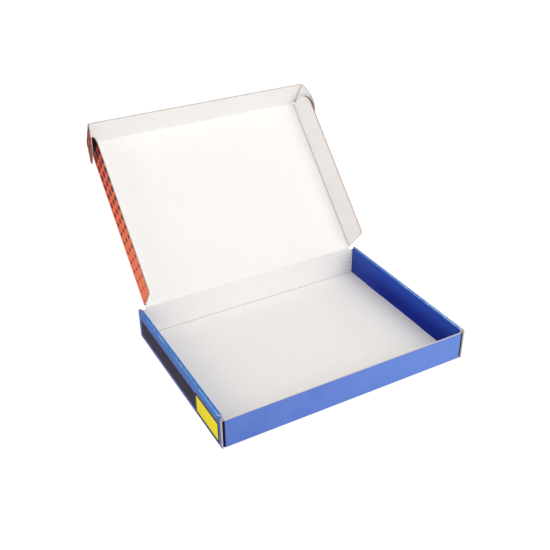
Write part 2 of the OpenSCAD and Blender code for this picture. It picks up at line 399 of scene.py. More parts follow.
def lid_print():
    """Orange with dark dots, small at the hinge, merged before the tuck crease and small again past it. The
    merged dots are partly print and partly painted shade.
    """
    g = Graph("lid_print")
    place = g.blank()
    x, y, _ = g.split(place)
    run = g.math("SUBTRACT", y, BLANK_HINGE)
    cells = []
    for value in (x, run):
        share = g.math("FRACT", g.math("DIVIDE", value, DOT_PITCH))
        cells.append(g.math("MULTIPLY", g.math("SUBTRACT", share, 0.5), DOT_PITCH))
    reach = g.math("SQRT", g.math("ADD", g.math("POWER", cells[0], 2.0), g.math("POWER", cells[1], 2.0)))
    size = g.math("MULTIPLY_ADD", run, DOT_GROWTH / LID_LEN, DOT_START)
    # Dots grow until they merge before the tuck crease: partly print, partly painted shade
    size = g.math("ADD", size, g.ramp(run, LID_LEN - 26, LID_LEN - 6, 0.0, 5.0))
    size = g.math("ADD", size, g.ramp(run, LID_LEN, LID_LEN + 3, 0.0, -4.8))
    dot = g.ramp(g.math("SUBTRACT", reach, size), -0.3, 0.3, 1.0, 0.0)
    ground = g.mix(g.ramp(run, 0, LID_LEN), srgb(255, 134, 92), srgb(248, 92, 48))
    ground = g.mix(g.math("MULTIPLY", g.noise(place, 0.08), 0.4), ground, srgb(230, 92, 60))
    colour = g.mix(dot, ground, srgb(60, 12, 26))
    normal = g.bump(board_height(g, place), 0.12, 0.0004)
    return g.surface(Base_Color=colour, Roughness=0.6, Specular_IOR_Level=0.12, Normal=normal)


def raw_edge():
    """Cut edges of the liners."""
    g = Graph("raw_edge")
    place = g.blank()
    colour = g.mix(g.noise(place, 1.3, 4.0, 0.7), srgb(246, 240, 240), srgb(228, 218, 218))
    return g.surface(Base_Color=colour, Roughness=0.85)


def flute_paper():
    """Fluted medium and the hollow of a cut edge."""
    g = Graph("flute_paper")
    place = g.blank()
    colour = g.mix(g.noise(place, 1.1, 4.0, 0.7), srgb(218, 207, 200), srgb(196, 184, 176))
    return g.surface(Base_Color=colour, Roughness=0.9)


# Places in MATERIALS
WHITE, BLUE, ORANGE, EDGE, FLUTE = range(5)


# Sheet geometry

class FoldPath:
    """Middle line of a folded sheet in a plane: straight runs, and round folds to the left."""

    def __init__(self, start, heading, runs):
        self.pieces = []
        point = np.array(start, float)
        angle = math.radians(heading)
        at = 0.0
        for length, fold in runs:
            self.pieces.append((at, length, point, angle, math.radians(fold)))
            point, angle = self.end_of(length, point, angle, math.radians(fold))
            at += length
        self.length = at

    @staticmethod
    def end_of(length, point, angle, fold):
        if not fold:
            return point + length * np.array([math.cos(angle), math.sin(angle)]), angle
        radius = length / fold
        centre = point + radius * np.array([-math.sin(angle), math.cos(angle)])
        angle += fold
        return centre - radius * np.array([-math.sin(angle), math.cos(angle)]), angle

    def stations(self):
        found = []
        for at, length, _, _, fold in self.pieces:
            steps = max(1, round(abs(fold) / ARC_STEP))
            found += [at + length * i / steps for i in range(steps + 1)]
        return sorted(set(round(s, 6) for s in found))

    def place(self, s, n):
        """Points at distance s along the line and n off it, to its right."""
        s = np.asarray(s, float)
        out = np.zeros((len(s), 2))
        for k, (at, length, point, angle, fold) in enumerate(self.pieces):
            low = s >= at - 1e-9 if k else np.ones(len(s), bool)
            high = s < at + length - 1e-9 if k + 1 < len(self.pieces) else np.ones(len(s), bool)
            mine = low & high
            run = s[mine] - at
            heading = angle + (run / length * fold if fold else 0 * run)
            if fold:
                radius = length / fold
                centre = point + radius * np.array([-math.sin(angle), math.cos(angle)])
                base = centre + radius * np.stack([np.sin(heading), -np.cos(heading)], 1)
            else:
                base = point + run[:, None] * np.array([math.cos(angle), math.sin(angle)])
            right = np.stack([np.sin(heading), -np.cos(heading)], 1)
            out[mine] = base + np.asarray(n, float)[mine, None] * right
        return out


def fold_length(radius):
    """Length of a square fold along its middle line."""
    return radius * math.radians(90)


def arc(centre, radius, start, end, steps):
    """Points on an arc, in degrees, both ends included."""
    angles = np.radians(np.linspace(start, end, steps + 1))
    return [(centre[0] + radius * math.cos(a), centre[1] + radius * math.sin(a)) for a in angles]


def inside(points, loop):
    """Which points lie inside a closed loop."""
    x, y = points[:, 0], points[:, 1]
    found = np.zeros(len(points), bool)
    for (x0, y0), (x1, y1) in zip(loop, loop[1:] + loop[:1]):
        crosses = (y0 > y) != (y1 > y)
        if y0 != y1:
            found ^= crosses & (x < (x1 - x0) * (y - y0) / (y1 - y0) + x0)
    return found


class Piece:
    """Collects the boards of one piece, then makes its mesh."""

    def __init__(self, name):
        self.name = name
        self.points = []
        self.blanks = []
        self.faces = []
        self.kinds = []

    def add(self, points, blanks, faces, kinds, flip=False):
        start = len(self.points)
        self.points += [tuple(p) for p in points]
        self.blanks += [tuple(b) for b in blanks]
        for face, kind in zip(faces, kinds):
            row = [start + i for i in face]
            self.faces.append(row[::-1] if flip else row)
            self.kinds.append(kind)

    def make(self):
        mesh = bpy.data.meshes.new(self.name)
        mesh.from_pydata([(x * MM, y * MM, z * MM) for x, y, z in self.points], [], self.faces)
        for material in MATERIALS:
            mesh.materials.append(material)
        mesh.polygons.foreach_set("material_index", self.kinds)
        blank = mesh.attributes.new("blank", "FLOAT_VECTOR", "POINT")
        blank.data.foreach_set("vector", np.array(self.blanks, np.float32).ravel())
        work = bmesh.new()
        work.from_mesh(mesh)
        bmesh.ops.remove_doubles(work, verts=work.verts, dist=2e-6)
        work.to_mesh(mesh)
        work.free()
        mesh.polygons.foreach_set("use_smooth", [True] * len(mesh.polygons))
        mesh.set_sharp_from_angle(angle=math.radians(30))
        mesh.update()
        made = bpy.data.objects.new(self.name, mesh)
        bpy.context.scene.collection.objects.link(made)
        return made


def triangulate(outline, holes, stations):
    """Points and triangles of a flat shape, with a line across it at every station."""
    loops = [outline, *holes]
    points, edges = [], []
    for loop in loops:
        start = len(points)
        points += loop
        edges += [(start + i, start + (i + 1) % len(loop)) for i in range(len(loop))]
    low = min(p[1] for p in outline) - 1
    high = max(p[1] for p in outline) + 1
    for s in stations:
        edges.append((len(points), len(points) + 1))
        points += [(s, low), (s, high)]
    made = delaunay_2d_cdt([Vector(p) for p in points], edges, [], 0, 1e-5)
    flat = np.array([tuple(v) for v in made[0]])
    tris = np.array([tuple(f) for f in made[2]])
    middle = flat[tris].mean(1)
    keep = inside(middle, outline)
    for hole in holes:
        keep &= ~inside(middle, hole)
    tris = tris[keep]
    a, b, c = flat[tris[:, 0]], flat[tris[:, 1]], flat[tris[:, 2]]
    area = (b[:, 0] - a[:, 0]) * (c[:, 1] - a[:, 1]) - (c[:, 0] - a[:, 0]) * (b[:, 1] - a[:, 1])
    tris[area < 0] = tris[area < 0][:, ::-1]
    used = np.unique(tris)
    number = -np.ones(len(flat), int)
    number[used] = np.arange(len(used))
    return flat[used], number[tris]


def border(tris):
    """For each point on the border, the next one, with the inside on the left."""
    edges = set()
    for a, b, c in tris:
        edges |= {(a, b), (b, c), (c, a)}
    return {int(a): int(b) for a, b in edges if (b, a) not in edges}


def is_mirrored(place, at):
    """Whether a placing function turns a face inside out, tried at one point of the sheet."""
    test = place(np.array([[0.0, 0, 0], [0.01, 0, 0], [0, 0.01, 0], [0, 0, 0.01]]) + at)
    sides = test[1:] - test[0]
    return np.dot(np.cross(sides[0], sides[1]), sides[2]) < 0


def add_board(
    piece, outline, place, outer, inner, blank,
    holes=(), stations=(), seams=None, rim=EDGE, shut=SHUT_GROOVE,
):
    """One board of liner, medium and liner. place takes (s, t, n), and n runs from the inner face to the
    outer. The flutes run along s. seams tells the stretches of the border that join another board."""
    flat, tris = triangulate(outline, list(holes), stations)
    count = len(flat)
    after = border(tris)
    before = {b: a for a, b in after.items()}
    ring = list(after)
    slot = {i: k for k, i in enumerate(ring)}
    inset = np.zeros((len(ring), 2))
    for i in ring:
        p, q, r = flat[before[i]], flat[i], flat[after[i]]
        first, second = (q - p) / np.linalg.norm(q - p), (r - q) / np.linalg.norm(r - q)
        left = np.array([[-first[1], first[0]], [-second[1], second[0]]])
        depth = [OPEN_GROOVE if abs(row[0]) > FLUTE_SHOWS else shut for row in left]
        middle = left.sum(0) / np.linalg.norm(left.sum(0))
        inset[slot[i]] = q + middle * min(depth)
        if abs(first[0] * second[1] - first[1] * second[0]) > 0.05:
            sharp = np.linalg.solve(left, depth)
            if np.linalg.norm(sharp) < 1.6 * max(depth):
                inset[slot[i]] = q + sharp
    groups = [
        (flat, HALF_BOARD), (flat, -HALF_BOARD),
        (flat[ring], CORE), (inset, CORE), (inset, -CORE), (flat[ring], -CORE),
    ]
    points = np.vstack([np.column_stack([xy, np.full(len(xy), n)]) for xy, n in groups])
    base = 2 * count
    size = len(ring)
    faces = [list(t) for t in tris] + [[count + i for i in t[::-1]] for t in tris]
    kinds = [outer] * len(tris) + [inner] * len(tris)
    shades = [rim, EDGE, FLUTE, EDGE, EDGE]
    for i in ring:
        j = after[i]
        if seams and seams(flat[[i, j]].mean(0)):
            continue
        a, b = slot[i], slot[j]
        steps = [
            (i, j), (base + a, base + b), (base + size + a, base + size + b),
            (base + 2 * size + a, base + 2 * size + b), (base + 3 * size + a, base + 3 * size + b),
            (count + i, count + j),
        ]
        for k, (one, two) in enumerate(zip(steps, steps[1:])):
            faces.append([one[0], two[0], two[1], one[1]])
            kinds.append(shades[k])
    blanks = np.column_stack([blank(points[:, 0], points[:, 1]), points[:, 2]])
    flip = is_mirrored(place, [*flat.mean(0), 0])
    piece.add(place(points), blanks, faces, kinds, flip)
    add_medium(piece, flat, after, place, blank, flip, seams)


def add_medium(piece, flat, after, place, blank, flip, seams):
    """Wave of fluted paper in the cut edges where the flutes end."""
    for i, j in after.items():
        p, q = flat[i], flat[j]
        length = np.linalg.norm(q - p)
        if length < 0.3 or (seams and seams((p + q) / 2)):
            continue
        run = (q - p) / length
        left = np.array([-run[1], run[0]])
        if abs(left[0]) < FLUTE_SHOWS:
            continue
        steps = max(2, round(length * abs(run[1]) / FLUTE_PITCH * FLUTE_STEPS))
        share = np.linspace(0, 1, steps + 1)
        line = p + share[:, None] * (q - p)
        phase = 2 * math.pi * line[:, 1] / FLUTE_PITCH
        wave = (CORE - FLUTE_PAPER / 2) * np.sin(phase)
        rows = []
        for depth in (0.12, OPEN_GROOVE):
            for side in (1, -1):
                xy = line + left * depth
                rows.append(np.column_stack([xy, wave + side * FLUTE_PAPER / 2]))
        points = np.vstack(rows)
        n = steps + 1
        faces = []
        for k in range(steps):
            faces.append([k, n + k, n + k + 1, k + 1])
            faces.append([2 * n + k, 2 * n + k + 1, 3 * n + k + 1, 3 * n + k])
            faces.append([k, k + 1, 2 * n + k + 1, 2 * n + k])
            faces.append([n + k, 3 * n + k, 3 * n + k + 1, n + k + 1])
        faces.append([0, 2 * n, 3 * n, n])
        faces.append([steps, n + steps, 3 * n + steps, 2 * n + steps])
        blanks = np.column_stack([blank(points[:, 0], points[:, 1]), points[:, 2]])
        piece.add(place(points), blanks, faces, [FLUTE] * len(faces), flip)


def on(matrix):
    """A flat sheet in a local frame."""
    table = np.array(matrix)

    def place(points):
        return points @ table[:3, :3].T + table[:3, 3]

    return place


def plain(s, t):
    return np.column_stack([s, t])


# Tray

SIDE_PATH = FoldPath((0, HALF_BOARD), 0, [
    (SIDE_FOLD, 0),
    (fold_length(FOLD_MID), 90),
    (SIDE_H - 2 * FOLD_OUT, 0),
    (fold_length(FOLD_MID), 90),
    (WALL_T - 2 * FOLD_OUT, 0),
    (fold_length(FOLD_MID), 90),
    (SIDE_H - FOLD_OUT - BOARD - TAB_GAP, 0),
])
S_WALL = SIDE_PATH.pieces[2][0]
S_TOP = SIDE_PATH.pieces[3][0]
S_STRIP = SIDE_PATH.pieces[4][0]
S_ROLL = SIDE_PATH.pieces[5][0]
S_INNER = SIDE_PATH.pieces[6][0]
S_END = SIDE_PATH.length
WALL_PATH = FoldPath((0, 0), 0, [
    (C_BEND, 0),
    (fold_length(CORNER_BEND - HALF_BOARD), 90),
    (CORNER_FLAP, 0),
])
C_FLAP = WALL_PATH.pieces[2][0]
C_END = WALL_PATH.length
# Where the hinge crease and the tuck crease lie on the flat blank
BLANK_HINGE = HALF_D - 2 * FOLD_OUT + fold_length(FOLD_MID) + HINGE_Z
BLANK_TUCK = BLANK_HINGE + LID_LEN


def side_place(points):
    """Bottom and both rolled side walls: s runs along X from the middle, t is Y."""
    side = np.where(points[:, 0] < 0, -1.0, 1.0)
    flat = SIDE_PATH.place(np.abs(points[:, 0]), points[:, 2])
    return np.column_stack([side * flat[:, 0], points[:, 1], flat[:, 1]])


def strip_line(x):
    """Distance along the wall's line of the point on a rolled wall's top that lies x out from the middle."""
    roll = HALF_W - WALL_T + FOLD_OUT
    if x > SIDE_FOLD:
        return S_TOP + FOLD_MID * math.acos((x - SIDE_FOLD) / FOLD_OUT)
    if x > roll:
        return S_STRIP + SIDE_FOLD - x
    return S_ROLL + FOLD_MID * math.asin((roll - x) / FOLD_OUT)


def strip_curve():
    """Slanting end of a top strip, from the outer panel's fold to the box's end, on the blank.
    The plan gives how far each point lies in from the box's side and from its end."""
    plan = [(0.54, 10.0), (1.0, 9.0), (1.6, 7.8), (2.1, 6.9), (2.6, 6.1), (3.2, 5.0), (3.8, 3.8), (4.4, 2.8)]
    return [(strip_line(HALF_W - x), HALF_D - y) for x, y in plan]


def panel_cut():
    """Cut edge of the outer panel's top fold beside the strip, then down round its own corner."""
    beside = [(s - 0.1, t + 0.25) for s, t in strip_curve()[:7]]
    s, t = beside[-1]
    return beside + [
        (s + 0.1, t + 0.8), (s - 0.5, t + 1.9), (S_TOP + 1.5, HALF_D - 0.4), (S_TOP + 0.7, HALF_D),
    ]


def lip_line():
    """The torn paper along that cut, which goes on a little way down the panel's end."""
    return panel_cut()[:8] + [
        (S_TOP + 2.4, HALF_D - 0.9), (S_TOP + 1.4, HALF_D - 0.6), (S_TOP + 0.4, HALF_D - 0.45),
        (S_TOP - 2.4, HALF_D - 0.42),
    ]


def rolled_outline(side):
    """Outline of one rolled wall on the blank, from the bottom's edge to the inner panel's end and its tabs.
    A curved slit parts the end of the top strip from the outer panel, whose fold goes on beside it."""
    corner = [
        (S_TOP, HALF_D), *reversed(panel_cut()), *strip_curve(), (S_INNER, INNER_HALF), (S_END, INNER_HALF),
    ]
    loop = [(SIDE_FOLD, END_FOLD), (SIDE_FOLD, HALF_D), *corner]
    for place in (TAB_PLACE, -TAB_PLACE):
        loop += [
            (S_END, place + TAB_LEN / 2), (S_END + BOARD, place + TAB_LEN / 2),
            (S_END + BOARD, place - TAB_LEN / 2), (S_END, place - TAB_LEN / 2),
        ]
    loop += [(s, -t) for s, t in reversed(corner)]
    loop += [(SIDE_FOLD, -HALF_D), (SIDE_FOLD, -END_FOLD)]
    return [(side * s, t) for s, t in loop][::-side]


def add_lip(piece, line):
    """Raised paper lip along a cut, given as points on the blank."""
    points, faces = [], []
    line = np.array(line)
    run = np.gradient(line, axis=0)
    run /= np.linalg.norm(run, axis=1)[:, None]
    across = np.column_stack([-run[:, 1], run[:, 0]]) * LIP_WIDTH / 2
    for offset, n in ((-1, -0.1), (-0.7, LIP_LIFT), (0.7, LIP_LIFT), (1, -0.1)):
        points.append(np.column_stack([line + offset * across, np.full(len(line), HALF_BOARD + n)]))
    count = len(line)
    for k in range(count - 1):
        for row in range(4):
            a, b = row * count + k, (row + 1) % 4 * count + k
            faces.append([a, a + 1, b + 1, b])
    faces += [[0, count, 2 * count, 3 * count], [count * r + count - 1 for r in (3, 2, 1, 0)]]
    points = np.vstack(points)
    piece.add(side_place(points), points, faces, [EDGE] * len(faces), line[0, 0] < 0)


def bottom_outline():
    return [
        (-SIDE_FOLD, -END_FOLD), (-C_BEND, -END_FOLD), (C_BEND, -END_FOLD), (SIDE_FOLD, -END_FOLD),
        (SIDE_FOLD, END_FOLD), (C_BEND, END_FOLD), (-C_BEND, END_FOLD), (-SIDE_FOLD, END_FOLD),
    ]


def slot_hole(side, place):
    x0 = HALF_W - WALL_T - TAB_GAP
    x1 = x0 + BOARD + 2 * TAB_GAP
    y0, y1 = place - TAB_LEN / 2 - TAB_GAP, place + TAB_LEN / 2 + TAB_GAP
    return [(side * x0, y0), (side * x0, y1), (side * x1, y1), (side * x1, y0)]


def wall_place(end):
    """Front wall (end -1) or back wall (end 1) with its corner flaps: s runs along the wall, t is Z."""

    def place(points):
        side = np.where(points[:, 0] < 0, -1.0, 1.0)
        flat = WALL_PATH.place(np.abs(points[:, 0]), points[:, 2])
        inward = flat[:, 1] + HALF_BOARD - HALF_D
        return np.column_stack([side * flat[:, 0], -end * inward, points[:, 1]])

    return place


def wall_blank(end):
    def blank(s, t):
        return np.column_stack([s, end * (END_FOLD + fold_length(FOLD_MID) + t - FOLD_OUT)])

    return blank


def both_halves(right):
    """A closed outline from its right half."""
    return right + [(-x, y) for x, y in reversed(right)]


def wall_outline(end):
    """End wall with its corner flaps, whose ends have slanting corners. The back wall reaches the hinge."""
    slant = (FRONT_H - CORNER_SLOPE) / 2 * CORNER_SLOPE / (CORNER_SLOPE + 1)
    low = C_END - CORNER_SLOPE + CORNER_SLOPE * FOLD_OUT / slant
    right = [
        (C_BEND, FOLD_OUT), (low, FOLD_OUT), (C_END, slant), (C_END, FRONT_H - slant),
        (C_END - CORNER_SLOPE, FRONT_H),
    ]
    if end > 0:
        right += [(HINGE_HALF, FRONT_H), (HINGE_HALF, HINGE_Z)]
    return both_halves(right)


def add_end_fold(piece, end):
    """Quarter fold between the bottom and an end wall, without cut edges: two faces and two closed ends."""
    path = FoldPath((0, 0), 0, [(fold_length(FOLD_MID), 90)])

    def place(points):
        flat = path.place(points[:, 1], points[:, 2])
        return np.column_stack([points[:, 0], end * (END_FOLD + flat[:, 0]), flat[:, 1] + HALF_BOARD])

    steps = round(math.radians(90) / ARC_STEP)
    points, faces, kinds = [], [], []
    for t in np.linspace(0, path.length, steps + 1):
        for n in (HALF_BOARD, -HALF_BOARD):
            points += [(-C_BEND, t, n), (C_BEND, t, n)]
    for k in range(steps):
        a, b = 4 * k, 4 * (k + 1)
        faces += [[a, a + 1, b + 1, b], [a + 2, b + 2, b + 3, a + 3]]
        faces += [[a, b, b + 2, a + 2], [a + 1, a + 3, b + 3, b + 1]]
        kinds += [BLUE, WHITE, EDGE, EDGE]
    points = np.array(points)
    blanks = np.column_stack([points[:, 0], end * (END_FOLD + points[:, 1]), points[:, 2]])
    piece.add(place(points), blanks, faces, kinds, is_mirrored(place, (0.0, 1.0, 0.0)))


def across_y(crease):
    """Places on the blank for a crease along X. They take a place along it and a distance across it."""
    return lambda at, off: (at, crease + off)


def across_x(crease, side, start):
    """The same for a crease along the sheet's Y, on one side of the box."""
    return lambda at, off: (side * (crease + off), start - at)


def add_bead(piece, matrix, span, axis, kind, blank):
    """Round bead that a crease turns on, along the local X or Y axis."""
    ring = arc((0, 0), HALF_BOARD, 0, 360 - 360 / BEAD_STEPS, BEAD_STEPS - 1)
    count = len(ring)
    points, blanks = [], []
    for at in span:
        points += [(at, u, v) if axis == "X" else (v, at, u) for u, v in ring]
        blanks += [(*blank(at, 0.0), 0.0)] * count
    faces = [[k, (k + 1) % count, count + (k + 1) % count, count + k] for k in range(count)]
    faces += [list(range(count))[::-1], list(range(count, 2 * count))]
    piece.add(on(matrix)(np.array(points)), blanks, faces, [kind] * count + [EDGE, EDGE])


def ride_on(made, body, node):
    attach(made, body)
    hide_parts(node)


def make_tray():
    tray = Piece("tray_board")
    holes = [slot_hole(side, place) for side in (1, -1) for place in (TAB_PLACE, -TAB_PLACE)]

    def bottom_seam(middle):
        x, y = abs(middle)
        at_side = abs(x - SIDE_FOLD) < 1e-3 and y < END_FOLD + 1e-3
        return at_side or (abs(y - END_FOLD) < 1e-3 and x < C_BEND)

    def rolled_seam(middle):
        return abs(abs(middle[0]) - SIDE_FOLD) < 1e-3 and abs(middle[1]) < END_FOLD

    def wall_seam(middle):
        return abs(middle[1] - FOLD_OUT) < 1e-3 and abs(middle[0]) < C_BEND

    add_board(tray, bottom_outline(), side_place, BLUE, WHITE, plain, holes, seams=bottom_seam)
    for side in (1, -1):
        stations = [side * s for s in SIDE_PATH.stations() if SIDE_FOLD < s < S_END]
        add_board(
            tray, rolled_outline(side), side_place, BLUE, WHITE, plain,
            stations=stations, seams=rolled_seam, shut=ROLLED_GROOVE,
        )
        add_lip(tray, [(side * s, -t) for s, t in lip_line()])
    bends = [s for s in WALL_PATH.stations() if C_BEND <= s <= C_FLAP]
    bends = [-s for s in bends] + bends
    for end in (-1, 1):
        add_board(
            tray, wall_outline(end), wall_place(end), BLUE, WHITE, wall_blank(end),
            stations=bends, seams=wall_seam,
        )
        add_end_fold(tray, end)
    add_bead(tray, HINGE, (-HINGE_HALF, HINGE_HALF), "X", WHITE, across_y(BLANK_HINGE))
    ride_on(tray.make(), "tray", "tray")


# Lid and flaps

def panel_blank(start, crease=0.0, side=1):
    """Places on the blank of a panel: t is minus the distance past the crease at start, and s counts from
    the middle of the box or from a crease beside the panel."""
    return lambda s, t: np.column_stack([side * (crease + s), start - t])


def lid_outline():
    right = arc((SIDE_CREASE, -LID_LEN), RELIEF, 180, 90, 10)
    right += [(SIDE_CREASE, -FLAP_SETBACK), (HINGE_HALF, -FLAP_SETBACK), (HINGE_HALF, -PANEL_START)]
    return both_halves(right)


def make_lid():
    lid = Piece("lid_board")
    add_board(lid, lid_outline(), on(LID), ORANGE, WHITE, panel_blank(BLANK_HINGE), rim=ORANGE)
    for side in (1, -1):
        add_bead(
            lid, LID @ shift(side * SIDE_CREASE, 0, 0), (-FLAP_END, -FLAP_SETBACK), "Y", ORANGE,
            across_x(SIDE_CREASE, side, BLANK_HINGE),
        )
    tuck = LID @ shift(0, -LID_LEN, 0)
    add_bead(lid, tuck, (-TUCK_HALF, TUCK_HALF), "X", ORANGE, across_y(BLANK_TUCK))
    add_side_liners(lid, 1, RIGHT_FLAP, True)
    add_side_liners(lid, -1, LEFT_FLAP, True)
    ride_on(lid.make(), "lid", "lid")


def front_flap_outline():
    right = [(EAR_CREASE, -FLAP_DEPTH), (EAR_CREASE, -SHOULDER)]
    return both_halves(right + [(TUCK_HALF, -SHOULDER), (TUCK_HALF, -PANEL_START)])


def make_front_flap():
    flap = Piece("front_flap_board")
    blank = panel_blank(BLANK_TUCK)
    add_board(flap, front_flap_outline(), on(FRONT_FLAP), ORANGE, WHITE, blank, rim=ORANGE)
    for side in (1, -1):
        add_bead(
            flap, FRONT_FLAP @ shift(side * EAR_CREASE, 0, 0), (-FLAP_DEPTH, -SHOULDER), "Y", ORANGE,
            across_x(EAR_CREASE, side, BLANK_TUCK),
        )
    ride_on(flap.make(), "front_flap", "front_flap")


def side_flap_outline():
    low = -FLAP_END
    top = -FLAP_SETBACK - FLAP_SLOPE
    slope = math.degrees(math.atan2(FLAP_SLOPE, FLAP_DEPTH - PANEL_START))
    large = (FLAP_DEPTH - FLAP_LARGE_ROUND, low + FLAP_LARGE_ROUND)
    small = (FLAP_DEPTH - FLAP_SMALL_ROUND, top - FLAP_SMALL_ROUND)
    loop = [(PANEL_START, low), *arc(large, FLAP_LARGE_ROUND, -90, 0, 14)]
    loop += arc(small, FLAP_SMALL_ROUND, 0, 90 - slope, 8)
    return loop + [(PANEL_START, -FLAP_SETBACK)]


def make_side_flap(name, matrix, side):
    flap = Piece(name + "_board")
    blank = panel_blank(BLANK_HINGE, SIDE_CREASE, side)
    add_board(flap, side_flap_outline(), on(matrix), ORANGE, WHITE, blank, rim=ORANGE)
    add_side_liners(flap, side, matrix, False)
    ride_on(flap.make(), name, name)


def ear_outline():
    """A wide round from the tuck flap's free edge to the ear's tip, and a small one at the tip."""
    low = -SHOULDER
    corner = EAR_LEN - EAR_ROUND
    meet = math.degrees(math.asin((low - EAR_TIP + corner) / EAR_ROUND))
    loop = [(PANEL_START, -FLAP_DEPTH)] + arc((corner, -corner), EAR_ROUND, -90, meet, 20)
    loop += arc((EAR_LEN - EAR_TIP, low - EAR_TIP), EAR_TIP, 8, 90, 6)
    return loop + [(PANEL_START, low)]


def make_ear(name, matrix, side):
    ear = Piece(name + "_board")
    blank = panel_blank(BLANK_TUCK, EAR_CREASE, side)
    add_board(ear, ear_outline(), on(matrix), ORANGE, WHITE, blank, rim=ORANGE)
    ride_on(ear.make(), name, name)


# Liners over the creases, shaped for the panels' present turn

def way(matrix, x, y, z):
    """A direction of a local frame."""
    return np.array(matrix.to_3x3() @ Vector((x, y, z)))


def skin_section(first, second, groove, lift):
    """Rows over a crease, each a point off its axis, the way out of the paper, and a distance on the blank.
    A panel is given by its direction away from the crease and the way out of its face."""
    (run_a, out_a), (run_b, out_b) = first, second
    middle = (out_a + out_b) / np.linalg.norm(out_a + out_b)
    half = math.acos(min(1.0, out_a @ middle))
    across = (run_b - run_a) / np.linalg.norm(run_b - run_a)
    if middle @ (run_a + run_b) < 0:
        steps = max(2, round(2 * half / ARC_STEP))
        turned = [half * (2 * k / steps - 1) for k in range(steps + 1)]
        rows = [(lift * (math.cos(a) * middle + math.sin(a) * across), a) for a in turned]
        rows = [(point, point / lift, lift * a) for point, a in rows]
        edge, room, spread = 0.0, lift * half, lift * math.sin(half)
        depth = lift * math.cos(half)
    else:
        edge = lift * math.tan(half) + GROOVE_HALF + 0.05
        depth = lift / math.cos(half) - groove
        rows = [(depth * middle + o * across, middle, o) for o in GROOVE_HALF * np.linspace(-1, 1, 5)]
        room, spread = 0.0, GROOVE_HALF + 0.02
    before = [(run_a * x + out_a * lift, out_a, -x - room) for x in (SKIN_REACH, edge) if x]
    after = [(run_b * x + out_b * lift, out_b, x + room) for x in (edge, SKIN_REACH) if x]
    return before + rows + after, depth * middle, spread * across


def add_strip(piece, matrix, axis, span, rows, kinds, blank):
    """A strip of liner along a crease."""
    centre = np.array(matrix.translation)
    along = way(matrix, *((1, 0, 0) if axis == "X" else (0, 1, 0)))
    points, blanks = [], []
    for depth in (0.0, -SKIN_PAPER):
        for at in span:
            points += [centre + along * at + point + out * depth for point, out, _ in rows]
            blanks += [(*blank(at, off), HALF_BOARD) for _, _, off in rows]
    count = len(rows)
    faces, shades = [], []
    for k in range(count - 1):
        kind = kinds[0] if rows[k][2] + rows[k + 1][2] < 0 else kinds[1]
        near, far, back, deep = k, count + k, 2 * count + k, 3 * count + k
        faces += [
            [near, near + 1, far + 1, far], [back, deep, deep + 1, back + 1],
            [near, back, back + 1, near + 1], [far, far + 1, deep + 1, deep],
        ]
        shades += [kind] * 4
    faces += [[0, count, 3 * count, 2 * count]]
    faces += [[count - 1, 3 * count - 1, 4 * count - 1, 2 * count - 1]]
    shades += list(kinds)
    normal = np.cross(points[1] - points[0], points[count] - points[0])
    piece.add(points, blanks, faces, shades, normal @ rows[0][1] < 0)


def add_skin(
    name, matrix, axis, span, first, second, kinds, blank,
    groove=0.0, lift=SKIN_LIFT,
):
    """A liner over a crease between two bodies, made as one fixed piece."""
    rows, middle, spread = skin_section(first, second, groove, lift)
    skin = Piece(name)
    add_strip(skin, matrix, axis, span, rows, kinds, blank)
    made = skin.make()
    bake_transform(made)


def add_side_liners(piece, side, matrix, of_lid):
    """Liners over a side crease, which turns too little to need a bending piece: the lid carries the bend
    and its own side of it, and the flap the strip beyond."""
    crease = LID @ shift(side * SIDE_CREASE, 0, 0)
    span = (-FLAP_END + SKIN_MARGIN, -FLAP_SETBACK - SKIN_MARGIN)
    blank = across_x(SIDE_CREASE, side, BLANK_HINGE)
    for face, kind in ((1, ORANGE), (-1, WHITE)):
        lid_run = (way(LID, -side, 0, 0), way(LID, 0, 0, face))
        flap_run = (way(matrix, 1, 0, 0), way(matrix, 0, 0, face))
        rows = skin_section(lid_run, flap_run, SIDE_GROOVE, SKIN_LIFT)[0]
        start = tuple(a + 0.05 * (b - a) for a, b in zip(rows[-2], rows[-1]))
        lid_part = rows[:-1] if face > 0 else rows[:-2]
        part = lid_part if of_lid else [start, rows[-1]]
        add_strip(piece, crease, "Y", span, part, (kind, kind), blank)


def make_skins():
    hinge_span = (-HINGE_HALF + SKIN_MARGIN, HINGE_HALF - SKIN_MARGIN)
    tuck_span = (-TUCK_HALF + SKIN_MARGIN, TUCK_HALF - SKIN_MARGIN)
    ear_span = (-FLAP_DEPTH + 2 * SKIN_MARGIN, -SHOULDER - SKIN_MARGIN)
    for face, name in ((1, "outer"), (-1, "inner")):
        wall = (np.array([0, 0, -1.0]), np.array([0, face, 0.0]))
        lid_up = (way(LID, 0, -1, 0), way(LID, 0, 0, face))
        lid_down = (way(LID, 0, 1, 0), way(LID, 0, 0, face))
        flap = (way(FRONT_FLAP, 0, -1, 0), way(FRONT_FLAP, 0, 0, face))
        prints = (BLUE, ORANGE) if face > 0 else (WHITE, WHITE)
        one = [prints[1]] * 2
        add_skin(
            "hinge_" + name, HINGE, "X", hinge_span,
            wall, lid_up, prints, across_y(BLANK_HINGE),
        )
        add_skin(
            "tuck_" + name, FRONT_FLAP, "X", tuck_span,
            lid_down, flap, one, across_y(BLANK_TUCK),
            groove=TUCK_GROOVE, lift=SKIN_LIFT if face < 0 else SKIN_FLUSH,
        )
        for side, word, ear in ((1, "right", RIGHT_EAR), (-1, "left", LEFT_EAR)):
            add_skin(
                f"{word}_ear_{name}", FRONT_FLAP @ shift(side * EAR_CREASE, 0, 0), "Y", ear_span,
                (way(FRONT_FLAP, -side, 0, 0), flap[1]),
                (way(ear, 1, 0, 0), way(ear, 0, 0, face)),
                one, across_x(EAR_CREASE, side, BLANK_TUCK), groove=SIDE_GROOVE,
            )


MATERIALS = [white_liner(), tray_print(), lid_print(), raw_edge(), flute_paper()]

